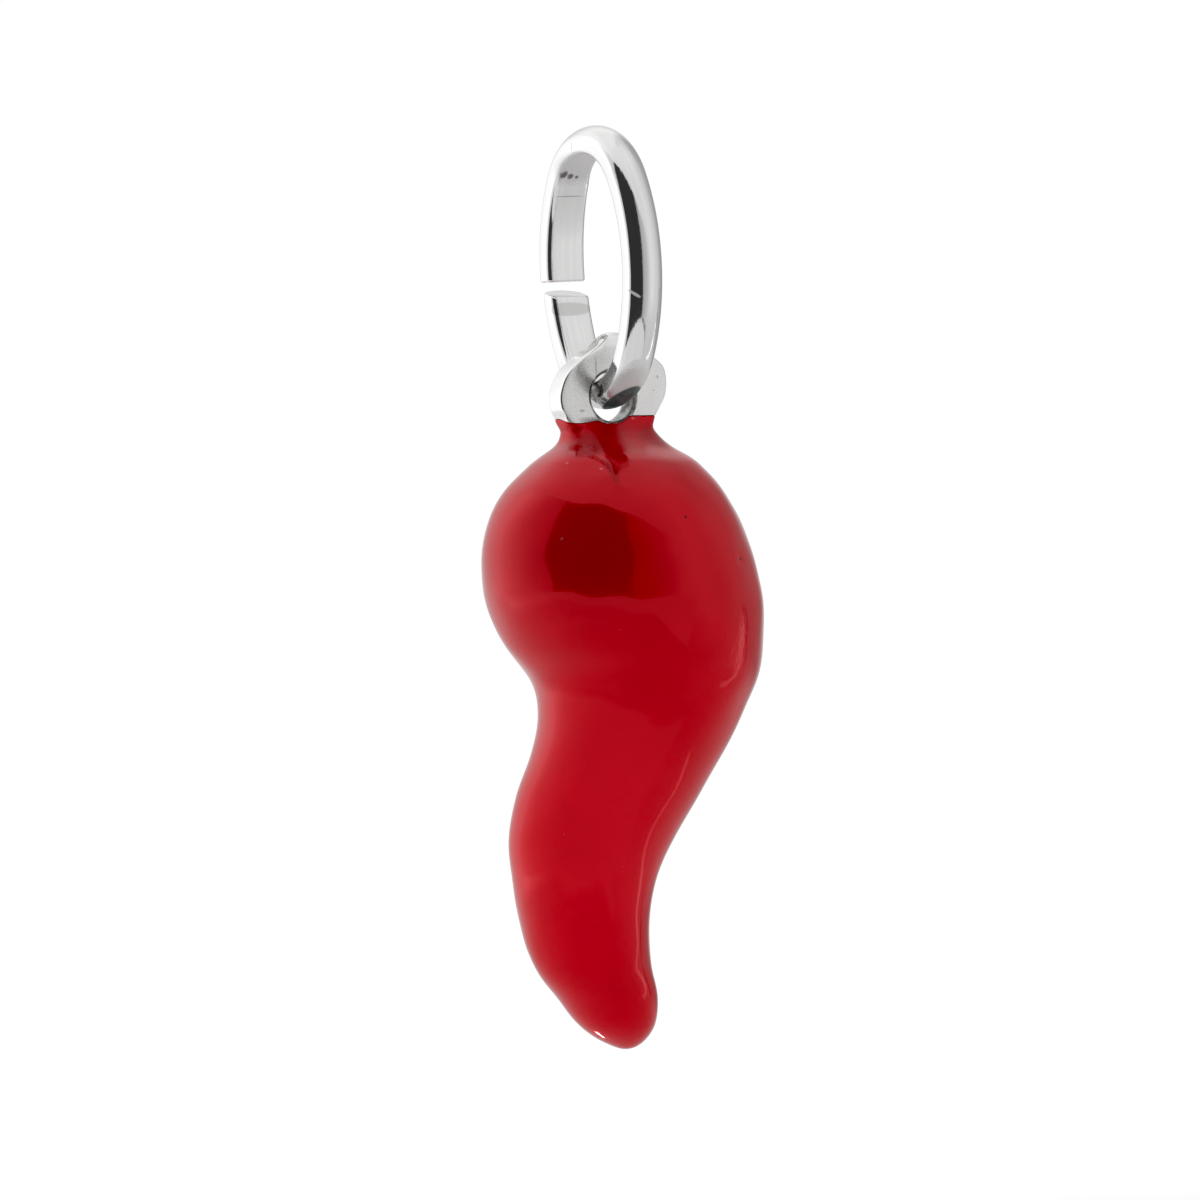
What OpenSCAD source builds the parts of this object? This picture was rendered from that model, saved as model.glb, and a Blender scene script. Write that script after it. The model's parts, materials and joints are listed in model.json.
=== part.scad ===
// Horn charm with a cast eye, hanging on an open oval bail. Millimetres, +Z up.
// The origin is the highest point inside the bail, where a chain bears.
// The horn's curve and its flat eye lie in the XZ plane, and the bail's oval lies in the YZ plane.

/* [Bail] */
// Height inside the oval
bail_inner_h = 6.3; // [5.4:0.1:9]
// Width inside the oval
bail_inner_w = 4; // [3.4:0.1:5]
// Radius inside the oval's round ends
bail_end_r = 1.6; // [1.3:0.05:1.65]
// Width of the half-round wire
wire_w = 1.06; // [0.8:0.02:1.1]
// Thickness of the wire at its crown
wire_t = 0.8; // [0.6:0.02:0.9]
// Rise of the wire's domed outside
wire_dome = 0.2; // [0.12:0.02:0.3]
// Rounding of the wire's four corners
wire_corner = 0.16; // [0.1:0.01:0.2]

/* [Cut in the bail] */
// Gap between the wire's ends on the outside
cut_outer = 0.2; // [0.1:0.05:0.5]
// Gap between the wire's ends on the inside
cut_inner = 0.42; // [0.2:0.02:0.8]
// Distance from the middle of the oval down to the upper end of the wire
cut_drop = 0.3; // [0.1:0.1:1]
// Sideways drift of both ends of the wire towards +X
cut_drift = 0.1; // [0:0.02:0.16]
// Sideways step from the upper end to the lower end
cut_step = 0.06; // [0:0.02:0.16]
// Extra width of the wire where the cutter squeezed its ends
cut_flare = 0.16; // [0:0.02:0.24]

/* [Eye] */
// Width of the eye at its belly
eye_w = 3.36; // [2.8:0.02:4.2]
// Thickness of the eye
eye_t = 0.75; // [0.6:0.05:0.9]
// Height of the eye above the centre of its hole
eye_rise = 1.8; // [1.5:0.05:2.4]
// Sideways reach of the eye's top, which leans towards +X
eye_lean = 0.22; // [0:0.02:0.5]
// Diameter of the hole that the bail passes through
hole_d = 1.38; // [1.36:0.02:1.7]
// Metal between the bottom of the hole and the middle of the enamel's edge
hole_margin = 0.11; // [0.09:0.01:0.4]
// Clearance between the wire and the top of the hole
seat_clear = 0.04; // [0.03:0.01:0.1]

/* [Horn] */
// Length of the enamelled horn, from the middle of the enamel's edge to the tip
horn_l = 17.3; // [13:0.2:24]
// Width of the horn at its bulb, along X
horn_w = 7.9; // [6:0.1:9]
// Depth of the horn at its bulb, along Y
horn_d = 7.3; // [6:0.1:9]
// Sideways reach of the horn's S curve
horn_bend = 1.2; // [0:0.1:2.4]

/* [Enamel] */
// Thickness of the enamel on the horn
coat_t = 0.3; // [0.2:0.02:0.4]
// Thickness of the enamel at its upper edge
coat_edge_t = 0.1; // [0.06:0.01:0.16]
// Gap between the enamel and the metal
coat_clear = 0.02; // [0.01:0.01:0.04]
// How much higher the enamel's edge runs at the sides of the neck than at its front and back
edge_lift = 0.2; // [0:0.02:0.24]
// How much the enamel's edge runs uphill towards +X
edge_slant = 0.04; // [0:0.01:0.06]

/* [Hidden] */
$fn = 64;

SIDES = 40;
RINGS_PER_ROW = 2;
WIRE_RINGS = 72;
END_REACH = 0.2;
OVER = 1;

// Inside of the bail: two round ends joined by two flatter sides, all tangent
bail_mid_z = -bail_inner_h / 2;
end_z = bail_inner_h / 2 - bail_end_r;
half_w = bail_inner_w / 2;
side_r = (half_w * half_w + end_z * end_z - bail_end_r * bail_end_r) / (2 * (half_w - bail_end_r));
side_y = side_r - half_w;
join_angle = atan2(end_z, side_y);
dome_r = (wire_w * wire_w / 4 + wire_dome * wire_dome) / (2 * wire_dome);

// The eye sits with the corners of the wire in the upper arc of its hole
hole_r = hole_d / 2;
neck_drop = hole_r + hole_margin;
corner_x = wire_w / 2 - wire_corner;
corner_reach = hole_r - wire_corner;
bail_rise = bail_end_r - sqrt(bail_end_r * bail_end_r - eye_t * eye_t / 4);
wire_above_hole = sqrt(corner_reach * corner_reach - corner_x * corner_x) + wire_corner;
hole_z = -bail_inner_h + bail_rise - wire_above_hole + seat_clear;
edge_z = hole_z - neck_drop;

// Sections of the eye. Height is a share of eye_rise above the hole or of neck_drop below it.
// Shift, width and depth are shares of eye_lean, eye_w and eye_t. A square section has a high squareness.
// Columns: height, shift, width, depth, squareness
EYE_ROWS = [
    [1.00, 1.00, 0.00, 0.00, 2.0],
    [0.975, 1.00, 0.15, 0.55, 2.2],
    [0.91, 1.00, 0.25, 0.80, 2.6],
    [0.82, 1.00, 0.36, 0.93, 3.4],
    [0.72, 1.00, 0.51, 0.98, 4.4],
    [0.60, 1.00, 0.69, 1.00, 5.4],
    [0.47, 0.94, 0.86, 1.00, 6.0],
    [0.33, 0.66, 0.95, 1.00, 6.0],
    [0.17, 0.35, 0.995, 1.00, 6.0],
    [0.00, 0.05, 1.00, 1.00, 6.0],
    [-0.38, -0.25, 0.94, 1.00, 6.0],
    [-0.72, -0.36, 0.86, 1.08, 5.2]
];

// Sections of the horn, from the enamel's edge to the tip.
// Drop is a share of horn_l, shift of horn_bend, width of horn_w and depth of horn_d.
// Columns: drop, shift, width, depth, squareness
HORN_ROWS = [
    [0.000, -0.05, 0.352, 0.145, 4.0],
    [0.014, 0.03, 0.350, 0.205, 3.2],
    [0.033, 0.13, 0.415, 0.330, 2.6],
    [0.062, 0.15, 0.615, 0.580, 2.1],
    [0.103, 0.09, 0.790, 0.775, 2.0],
    [0.155, 0.08, 0.910, 0.905, 2.0],
    [0.218, 0.13, 0.982, 0.980, 2.0],
    [0.288, 0.31, 0.992, 1.000, 2.0],
    [0.353, 0.53, 0.925, 0.955, 2.0],
    [0.408, 0.76, 0.815, 0.860, 2.0],
    [0.460, 0.62, 0.740, 0.765, 2.0],
    [0.522, 0.24, 0.705, 0.690, 2.0],
    [0.590, -0.29, 0.670, 0.625, 2.0],
    [0.660, -0.77, 0.605, 0.570, 2.0],
    [0.730, -1.04, 0.515, 0.525, 2.0],
    [0.800, -1.07, 0.450, 0.480, 2.0],
    [0.865, -0.87, 0.405, 0.430, 2.0],
    [0.920, -0.47, 0.342, 0.360, 2.0],
    [0.962, -0.25, 0.256, 0.275, 2.0],
    [0.990, -0.11, 0.122, 0.135, 2.0],
    [1.000, -0.09, 0.000, 0.000, 2.0]
];

// Rows in millimetres. Columns: height, shift, half width, half depth, squareness
ROWS = concat(
    [for (r = EYE_ROWS) [
        hole_z + r[0] * (r[0] > 0 ? eye_rise : neck_drop),
        r[1] * eye_lean, r[2] * eye_w / 2, r[3] * eye_t / 2, r[4]
    ]],
    [for (r = HORN_ROWS) [
        edge_z - r[0] * horn_l,
        r[1] * horn_bend, r[2] * horn_w / 2, r[3] * horn_d / 2, r[4]
    ]]
);
LAST = len(ROWS) - 1;
EDGE_ROW = len(EYE_ROWS);
EDGE_FADE = 3;
COAT_RAMP = 3;

// A row past an end is its neighbour mirrored, which rounds the end off
function row(i) =
    i < 0 ? mirrored(ROWS[-i]) :
    i > LAST ? mirrored(ROWS[2 * LAST - i]) :
    ROWS[i];
function mirrored(r) = [r[0], r[1], -r[2], -r[3], r[4]];

// Smooth curve through the rows, where t counts rows from the top of the eye
function section(t) =
    let (
        i = min(max(floor(t), 0), LAST - 1),
        f = t - i,
        a = row(i - 1),
        b = row(i),
        c = row(i + 1),
        d = row(i + 2)
    )
    b + (c - a) * f / 2 + (2 * a - 5 * b + 4 * c - d) * f * f / 2 + (3 * b - 3 * c + d - a) * f * f * f / 2;

function power(v, p) = sign(v) * pow(abs(v), p);

function surface_point(t, angle) =
    let (s = section(t), p = 2 / max(s[4], 2))
    [s[1] + s[2] * power(cos(angle), p), s[3] * power(sin(angle), p), s[0]];

// A point of the skin, moved inwards by a thickness
function skin(t, angle, inset) =
    let (
        along = surface_point(min(t + 0.02, LAST), angle) - surface_point(max(t - 0.02, 0), angle),
        around = surface_point(t, angle + 1) - surface_point(t, angle - 1),
        out = cross(along, around)
    )
    surface_point(t, angle) - inset * out / norm(out);

// The enamel's edge is uneven, so rings near it are pulled up and down with the angle
row_pitch = (ROWS[EDGE_ROW - 1][0] - ROWS[EDGE_ROW + 1][0]) / 2;
function edge_shift(angle) = (edge_lift * pow(cos(angle), 2) + edge_slant * cos(angle)) / row_pitch;
function edge_weight(t) = pow(cos(90 * min(abs(t - EDGE_ROW) / EDGE_FADE, 1)), 2);
function ring_t(t, angle) = t - edge_shift(angle) * edge_weight(t);

// Thickness of the enamel, which thins out towards its edge
function coat_at(t) =
    let (f = min(max((t - EDGE_ROW) / COAT_RAMP, 0), 1))
    coat_edge_t + (coat_t - coat_edge_t) * f * f * (3 - 2 * f);

function ring(t, inset) = [for (j = [0:SIDES - 1])
    let (angle = 360 * j / SIDES)
    skin(ring_t(t, angle), angle, inset)];

// Triangles between ring a and ring b of the same size, whose points start at these indices
function band(a, b, size = SIDES) = [for (j = [0:size - 1], side = [0, 1])
    let (k = (j + 1) % size)
    side == 0 ? [a + j, a + k, b + k] : [a + j, b + k, b + j]];
function fan(pole, a) = [for (j = [0:SIDES - 1]) [pole, a + j, a + (j + 1) % SIDES]];
function flipped(faces) = [for (f = faces) [f[0], f[2], f[1]]];

RING_STEPS = [for (k = [1:LAST * RINGS_PER_ROW - 1]) k / RINGS_PER_ROW];
COAT_STEPS = [for (t = RING_STEPS) if (t >= EDGE_ROW) t];
TOP = [ROWS[0][1], 0, ROWS[0][0]];
TIP = [ROWS[LAST][1], 0, ROWS[LAST][0]];

// The horn hangs with the middle of its volume straight below the hole
SLICES = [for (t = RING_STEPS) section(t)];
BULK = [for (i = [1:len(SLICES) - 2])
    SLICES[i][2] * SLICES[i][3] * (SLICES[i - 1][0] - SLICES[i + 1][0])];
function middle(column) =
    BULK * [for (i = [1:len(SLICES) - 2]) SLICES[i][column]] / (BULK * [for (b = BULK) 1]);
hang_turn = atan2(middle(1), hole_z - middle(0));

function arc(center, r, from, to, steps) =
    [for (i = [0:steps]) let (a = from + (to - from) * i / steps) center + r * [cos(a), sin(a)]];

// The wire's cross-section. X runs out from the inside of the oval and Y runs across the wire.
dome_x = wire_t - dome_r;
shoulder_x = dome_x + sqrt(pow(dome_r - wire_corner, 2) - corner_x * corner_x);
shoulder = atan2(corner_x, shoulder_x - dome_x);
WIRE = concat(
    arc([wire_corner, -corner_x], wire_corner, 180, 270, 3),
    arc([shoulder_x, -corner_x], wire_corner, -90, -shoulder, 2),
    [for (k = [-2:2]) [dome_x, 0] + dome_r * [cos(shoulder * k / 3), sin(shoulder * k / 3)]],
    arc([shoulder_x, corner_x], wire_corner, shoulder, 90, 2),
    arc([wire_corner, corner_x], wire_corner, 90, 180, 3)
);

// Point of the oval's inside whose outward normal stands at this angle from +Y
function oval(angle) =
    let (lean = abs(sin(angle)), toward = [cos(angle), sin(angle)])
    lean > sin(join_angle) ?
        [0, sign(sin(angle)) * end_z] + bail_end_r * toward :
        [-sign(cos(angle)) * side_y, 0] + side_r * toward;

// The wire starts at the cut's upper face and ends at its lower face, which leans open inwards.
// Both angles depend on how far out a point of the wire lies.
function start_angle(out) = asin(-cut_drop / (side_r + out));
function stop_angle(out) =
    360 - asin((cut_drop + cut_inner - (cut_inner - cut_outer) * out / wire_t) / (side_r + out));

// The ends are squeezed wider and sit sideways, which fades away along the wire
function end_weight(f) = let (near = max(1 - min(f, 1 - f) / END_REACH, 0)) near * near * (3 - 2 * near);
function end_shift(f) = end_weight(f) * (cut_drift + (f > 0.5 ? cut_step : 0));
function spread(f) = 1 + end_weight(f) * cut_flare / wire_w;

// Point of the wire's skin at a share of its length, for a point of the cross-section
function wire_point(f, p) =
    let (
        angle = start_angle(p[0]) * (1 - f) + stop_angle(p[0]) * f,
        yz = oval(angle) + p[0] * [cos(angle), sin(angle)]
    )
    [p[1] * spread(f) + end_shift(f), yz[0], bail_mid_z + yz[1]];

module bail() {
    size = len(WIRE);
    points = [for (i = [0:WIRE_RINGS], p = WIRE) wire_point(i / WIRE_RINGS, p)];
    sides = [for (i = [0:WIRE_RINGS - 1]) each band(i * size, (i + 1) * size, size)];
    upper_end = [for (j = [1:size - 2]) [0, j + 1, j]];
    lower_end = [for (f = upper_end) [f[0], f[2], f[1]] + WIRE_RINGS * size * [1, 1, 1]];
    color("silver") polyhedron(points, concat(sides, upper_end, lower_end));
}

module hung() {
    translate([0, 0, hole_z]) rotate([0, hang_turn, 0]) translate([0, 0, -hole_z]) children();
}

module horn_core() {
    count = len(RING_STEPS);
    points = concat(
        [TOP],
        [for (t = RING_STEPS) each ring(t, t < EDGE_ROW ? 0 : coat_at(t) + coat_clear)],
        [TIP + [0, 0, coat_t + coat_clear]]
    );
    faces = concat(
        flipped(fan(0, 1)),
        [for (i = [0:count - 2]) each band(1 + i * SIDES, 1 + (i + 1) * SIDES)],
        fan(1 + count * SIDES, 1 + (count - 1) * SIDES)
    );
    color("gainsboro") difference() {
        hung() polyhedron(points, faces);
        translate([0, 0, hole_z]) rotate([90, 0, 0])
            cylinder(r = hole_r, h = eye_t + 2 * OVER, center = true);
    }
}

module enamel_coat() {
    count = len(COAT_STEPS);
    inner = count * SIDES + 1;
    points = concat(
        [for (t = COAT_STEPS) each ring(t, 0)],
        [TIP],
        [for (t = COAT_STEPS) each ring(t, coat_at(t))],
        [TIP + [0, 0, coat_t]]
    );
    outside = concat(
        [for (i = [0:count - 2]) each band(i * SIDES, (i + 1) * SIDES)],
        fan(count * SIDES, (count - 1) * SIDES)
    );
    inside = [for (f = outside) [f[0] + inner, f[2] + inner, f[1] + inner]];
    color("crimson") hung()
        polyhedron(points, concat(outside, inside, flipped(band(0, inner))));
}

bail();
horn_core();
enamel_coat();
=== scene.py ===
import json
import math

import bmesh
import bpy
import numpy as np
from mathutils import Matrix, Vector


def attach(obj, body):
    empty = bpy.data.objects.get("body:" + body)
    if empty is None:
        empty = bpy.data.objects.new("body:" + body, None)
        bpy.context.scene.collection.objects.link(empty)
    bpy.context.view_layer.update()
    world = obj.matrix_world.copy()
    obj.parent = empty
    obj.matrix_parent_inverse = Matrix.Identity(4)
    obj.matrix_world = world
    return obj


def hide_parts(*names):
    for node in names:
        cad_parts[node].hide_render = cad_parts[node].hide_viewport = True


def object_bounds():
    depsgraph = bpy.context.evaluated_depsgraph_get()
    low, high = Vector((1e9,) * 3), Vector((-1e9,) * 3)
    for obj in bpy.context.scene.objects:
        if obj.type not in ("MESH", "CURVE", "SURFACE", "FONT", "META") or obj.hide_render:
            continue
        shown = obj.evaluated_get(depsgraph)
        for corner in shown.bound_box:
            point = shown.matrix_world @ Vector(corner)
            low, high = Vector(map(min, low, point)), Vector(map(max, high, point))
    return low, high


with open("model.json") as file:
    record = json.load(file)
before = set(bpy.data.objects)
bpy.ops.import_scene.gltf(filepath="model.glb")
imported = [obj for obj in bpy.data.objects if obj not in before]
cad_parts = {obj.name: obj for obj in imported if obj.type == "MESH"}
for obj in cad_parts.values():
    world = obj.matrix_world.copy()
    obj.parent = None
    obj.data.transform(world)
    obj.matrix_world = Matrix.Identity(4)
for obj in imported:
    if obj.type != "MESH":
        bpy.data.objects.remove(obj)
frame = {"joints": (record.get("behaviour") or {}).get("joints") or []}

CAD_LOW, CAD_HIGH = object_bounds()

# Lengths in this file are millimetres. Meshes and shaders get them in metres.
MM = 0.001

# Sizes of the part, as its CAD source has them. The coat's ramp is in rows of the tables below, the cut's reach
# is a share of the wire's length, and the horn's turn is in degrees.
BAIL = {"inner_h": 6.3, "inner_w": 4.0, "end_r": 1.6}
WIRE = {"width": 1.06, "thick": 0.8, "dome": 0.3, "corner": 0.16}
CUT = {"outer": 0.2, "inner": 0.42, "drop": 0.3, "drift": 0.1, "step": 0.06, "flare": 0.16, "reach": 0.2}
EYE = {"width": 3.36, "thick": 0.75, "rise": 1.8, "lean": 0.22, "hole_r": 0.69, "margin": 0.11}
HORN = {"length": 17.3, "width": 7.9, "depth": 7.3, "bend": 1.2, "turn": 0.89}
COAT = {"thick": 0.3, "edge": 0.1, "clear": 0.02, "ramp": 3.0}

# Fineness of the meshes: points round the horn, rings along the wire, and the spacing of the horn's rings
COLUMNS = 160
WIRE_RINGS = 420
PITCH = {"enamel": 0.08, "bare": 0.04, "covered": 0.3}

# Radii of the small roundings: the enamel's lip, the hole's rim and the ends of the wire
SOFT = {"lip": 0.05, "rim": 0.09, "end": 0.05}

# The wire's length, rounded, for its UVs and the places of its rounded ends
WIRE_LENGTH = 17.0

PIVOT = np.array(frame["joints"][0]["pos_m"]) / MM
HOLE_Z = PIVOT[2]
NECK_DROP = EYE["hole_r"] + EYE["margin"]
EDGE_Z = HOLE_Z - NECK_DROP

# Sections of the eye, as shares of its rise or of the neck's drop, its lean, its width and its thickness
# Columns: height, shift, width, depth, squareness
EYE_ROWS = [
    [1.00, 1.00, 0.00, 0.00, 2.0],
    [0.975, 1.00, 0.15, 0.55, 2.4],
    [0.91, 1.00, 0.25, 0.80, 3.2],
    [0.82, 1.00, 0.36, 0.93, 4.6],
    [0.72, 1.00, 0.51, 0.98, 7.0],
    [0.60, 1.00, 0.69, 1.00, 11.0],
    [0.47, 0.94, 0.86, 1.00, 15.0],
    [0.33, 0.66, 0.95, 1.00, 17.0],
    [0.17, 0.35, 0.995, 1.00, 18.0],
    [0.00, 0.05, 1.00, 1.00, 18.0],
    [-0.38, -0.25, 0.94, 1.00, 16.0],
    [-0.72, -0.36, 0.86, 1.08, 10.0],
]

# Sections of the horn, as shares of its length, its bend, its width and its depth
# Columns: drop, shift, width, depth, squareness
HORN_ROWS = [
    [0.000, -0.05, 0.352, 0.145, 4.0],
    [0.014, 0.03, 0.350, 0.205, 3.2],
    [0.033, 0.13, 0.415, 0.330, 2.6],
    [0.062, 0.15, 0.615, 0.580, 2.1],
    [0.103, 0.09, 0.790, 0.775, 2.0],
    [0.155, 0.08, 0.910, 0.905, 2.0],
    [0.218, 0.13, 0.982, 0.980, 2.0],
    [0.288, 0.31, 0.992, 1.000, 2.0],
    [0.353, 0.53, 0.925, 0.955, 2.0],
    [0.408, 0.76, 0.815, 0.860, 2.0],
    [0.460, 0.62, 0.740, 0.765, 2.0],
    [0.522, 0.24, 0.705, 0.690, 2.0],
    [0.590, -0.29, 0.670, 0.625, 2.0],
    [0.660, -0.77, 0.605, 0.570, 2.0],
    [0.730, -1.04, 0.515, 0.525, 2.0],
    [0.800, -1.07, 0.450, 0.480, 2.0],
    [0.865, -0.87, 0.405, 0.430, 2.0],
    [0.920, -0.47, 0.342, 0.360, 2.0],
    [0.962, -0.25, 0.256, 0.275, 2.0],
    [0.990, -0.11, 0.122, 0.135, 2.0],
    [1.000, -0.09, 0.000, 0.000, 2.0],
]

# The enamel's upper edge: its height above the CAD edge, by the direction round the neck in degrees from +X
# Columns: direction, lift
EDGE_LIFTS = [
    [0, 0.24], [25, 0.22], [60, 0.10], [90, 0.07], [120, 0.12], [155, 0.20],
    [180, 0.22], [204, 0.05], [224, 0.15], [252, 0.06], [285, 0.15], [312, 0.26], [337, 0.25],
]


def horn_rows():
    """All sections at full size. Columns: height, shift, half width, half depth, squareness."""
    eye = [
        [HOLE_Z + h * (EYE["rise"] if h > 0 else NECK_DROP), s * EYE["lean"], w * EYE["width"] / 2,
         d * EYE["thick"] / 2, n]
        for h, s, w, d, n in EYE_ROWS
    ]
    horn = [
        [EDGE_Z - h * HORN["length"], s * HORN["bend"], w * HORN["width"] / 2, d * HORN["depth"] / 2, n]
        for h, s, w, d, n in HORN_ROWS
    ]
    return np.array(eye + horn)


ROWS = horn_rows()
LAST = len(ROWS) - 1
EDGE_ROW = len(EYE_ROWS)
# A mirrored row past each end rounds that end off
MIRROR = np.array([1, 1, -1, -1, 1])
PADDED = np.concatenate([[ROWS[1] * MIRROR], ROWS, [ROWS[LAST - 1] * MIRROR]])


def section(t):
    """The smooth section at t rows from the top of the eye."""
    i = np.clip(np.floor(t).astype(int), 0, LAST - 1)
    f = (t - i)[..., None]
    a, b, c, d = (PADDED[i + k] for k in range(4))
    curve = b + (c - a) * f / 2 + (2 * a - 5 * b + 4 * c - d) * f**2 / 2
    return curve + (3 * b - 3 * c + d - a) * f**3 / 2


def surface(t, angle):
    """Point of the horn's skin at t rows from the top, with the angle in radians from +X."""
    height, shift, half_w, half_d, square = np.moveaxis(section(t), -1, 0)
    square = np.maximum(square, 2)
    x, y = np.cos(angle), np.sin(angle)
    reach = (np.abs(x) ** square + np.abs(y) ** square) ** (-1 / square)
    return np.stack([shift + half_w * x * reach, half_d * y * reach, height], -1)


def outward(t, angle, dt=0.02, da=math.radians(1)):
    """Unit normal of the horn's skin."""
    along = surface(np.minimum(t + dt, LAST), angle) - surface(np.maximum(t - dt, 0), angle)
    around = surface(t, angle + da) - surface(t, angle - da)
    out = np.cross(along, around)
    return out / np.maximum(np.linalg.norm(out, axis=-1, keepdims=True), 1e-12)


def smooth_step(v):
    v = np.clip(v, 0, 1)
    return v * v * (3 - 2 * v)


def ring_angles(t, count, corner=0.3, dense=1440):
    """Angles round each ring, spaced evenly by length and more closely where the ring turns a corner.

    A turn of one radian counts for as much as a length of corner.
    """
    angle = np.linspace(0, 2 * math.pi, dense + 1)
    points = surface(t[:, None] + 0 * angle, angle + 0 * t[:, None])[..., :2]
    step = np.diff(points, axis=1)
    length = np.linalg.norm(step, axis=-1)
    heading = np.unwrap(np.arctan2(step[..., 1], step[..., 0]), axis=1)
    turn = np.abs(np.diff(heading, axis=1, append=heading[:, :1] + 2 * math.pi))
    weight = np.cumsum(np.concatenate([np.zeros((len(t), 1)), length + corner * turn], axis=1), axis=1)
    wanted = np.arange(count) / count
    return np.array([np.interp(wanted * w[-1], w, angle) for w in weight])


def rings_between(start, stop, pitch, dense=6000):
    """Row positions from start to stop, spaced by about one pitch along the skin."""
    t = np.linspace(start, stop, dense)
    moved = np.linalg.norm(np.diff(section(t)[:, [0, 2, 3]], axis=0), axis=1)
    length = np.concatenate([[0], np.cumsum(moved)])
    return np.interp(np.linspace(0, length[-1], round(length[-1] / pitch) + 1), length, t)


def edge_heights(angles, step=2.0, spread=6, gap=0.03):
    """Height of the enamel's edge at each angle round the neck, kept below the hole's rim by a gap."""
    ring = surface(np.full(len(angles), float(EDGE_ROW)), angles)
    direction = np.degrees(np.arctan2(ring[:, 1], ring[:, 0] - ROWS[EDGE_ROW, 1])) % 360
    table = np.array(EDGE_LIFTS)
    known = np.concatenate([table[:, 0] - 360, table[:, 0], table[:, 0] + 360])
    lifts = np.tile(table[:, 1], 3)
    fine = np.arange(-360, 720, step)
    rough = np.interp(fine, known, lifts)
    kernel = np.hanning(2 * spread + 1)
    soft = np.convolve(np.pad(rough, spread, mode="edge"), kernel / kernel.sum(), mode="valid")
    height = EDGE_Z + np.interp(direction, fine, soft)
    rim = EYE["hole_r"] + gap
    under_hole = HOLE_Z - np.sqrt(np.maximum(rim**2 - ring[:, 0] ** 2, 0))
    return np.where(np.abs(ring[:, 0]) < rim, np.minimum(height, under_hole), height)


def warped(t, angles, reach=3.0, dense=400):
    """Row positions of a grid whose edge row follows the enamel's uneven edge.

    The shift fades out over reach rows on either side.
    """
    edge_angles = ring_angles(np.array([float(EDGE_ROW)]), angles.shape[1])[0]
    heights = edge_heights(edge_angles)
    fine = np.linspace(EDGE_ROW - 2, EDGE_ROW + 1, dense)
    edge_t = np.interp(-heights, -section(fine)[:, 0], fine)
    weight = np.cos(math.pi / 2 * np.minimum(np.abs(t - EDGE_ROW) / reach, 1)) ** 2
    return t[:, None] - weight[:, None] * (EDGE_ROW - edge_t)[None, :]


def hung(points):
    """Turns points of the horn about the hole, as far as it turns when it hangs balanced."""
    turn = np.array(Matrix.Rotation(math.radians(HORN["turn"]), 3, "Y"))
    return (points - PIVOT) @ turn.T + PIVOT


def grid_faces(rings, columns, start=0):
    """Quads of a grid of closed rings, facing outwards where the rings run down the horn."""
    i, j = np.meshgrid(np.arange(rings - 1), np.arange(columns), indexing="ij")
    a = start + i * columns + j
    b = start + i * columns + (j + 1) % columns
    return np.stack([a, a + columns, b + columns, b], -1).reshape(-1, 4).tolist()


def make_mesh(name, points, faces, uv=None):
    """A smooth mesh object, with an optional UV pair for each point."""
    mesh = bpy.data.meshes.new(name)
    mesh.from_pydata((np.asarray(points) * MM).tolist(), [], faces)
    mesh.update()
    mesh.shade_smooth()
    if uv is not None:
        corner = np.zeros(len(mesh.loops), np.int32)
        mesh.loops.foreach_get("vertex_index", corner)
        layer = mesh.uv_layers.new(name="lengths")
        layer.data.foreach_set("uv", np.asarray(uv)[corner].astype(np.float32).ravel())
    obj = bpy.data.objects.new(name, mesh)
    bpy.context.scene.collection.objects.link(obj)
    return obj


def apply_modifiers(obj):
    """Replaces an object's mesh by what its modifiers make of it."""
    graph = bpy.context.evaluated_depsgraph_get()
    mesh = bpy.data.meshes.new_from_object(obj.evaluated_get(graph))
    obj.modifiers.clear()
    obj.data = mesh


def face_outwards(obj):
    """Turns all faces of a closed piece outwards."""
    bm = bmesh.new()
    bm.from_mesh(obj.data)
    bmesh.ops.recalc_face_normals(bm, faces=bm.faces)
    bm.to_mesh(obj.data)
    bm.free()


def sharpen(obj, degrees):
    """Marks edges that turn by more than this as sharp."""
    bm = bmesh.new()
    bm.from_mesh(obj.data)
    for edge in bm.edges:
        edge.smooth = len(edge.link_faces) == 2 and edge.calc_face_angle() < math.radians(degrees)
    bm.to_mesh(obj.data)
    bm.free()


def waves(points, terms):
    """Sum of soft waves at each point."""
    total = np.zeros(points.shape[:-1])
    for amplitude, length, x, y, z, phase in terms:
        direction = np.array([x, y, z]) / math.sqrt(x * x + y * y + z * z)
        total += amplitude * np.sin(points @ direction * 2 * math.pi / length + phase)
    return total


# Rows under the enamel's edge over which its unevenness sets in
SET_IN_ROWS = 2.5

# Slow unevenness of the hand-laid enamel
# Columns: amplitude, wavelength, direction x, y, z, phase
ENAMEL_WAVES = [
    [0.030, 6.1, 1.0, 0.3, 0.5, 0.4],
    [0.022, 4.3, -0.4, 1.0, 0.8, 1.9],
    [0.014, 2.9, 0.7, -0.6, 1.0, 3.1],
    [0.007, 1.7, 1.0, 0.9, -0.6, 5.0],
    [0.004, 1.1, -0.8, 0.4, 1.0, 2.2],
]

# Small forms in the enamel: the run down from the neck, and two pits
# Columns: x, y, z, radius, height
ENAMEL_FORMS = [
    [-1.20, -2.00, -8.76, 0.34, 0.010],
    [-1.22, -2.30, -9.02, 0.24, 0.022],
    [-1.21, -2.58, -9.30, 0.18, 0.036],
    [0.40, -3.34, -10.21, 0.13, -0.025],
    [2.32, -2.96, -11.44, 0.15, -0.030],
]


def small_forms(points, forms):
    """Height of round bumps and dents, summed at each point."""
    total = np.zeros(points.shape[:-1])
    for x, y, z, radius, height in forms:
        total += height * np.exp(-np.sum((points - [x, y, z]) ** 2, axis=-1) / radius**2)
    return total


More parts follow.
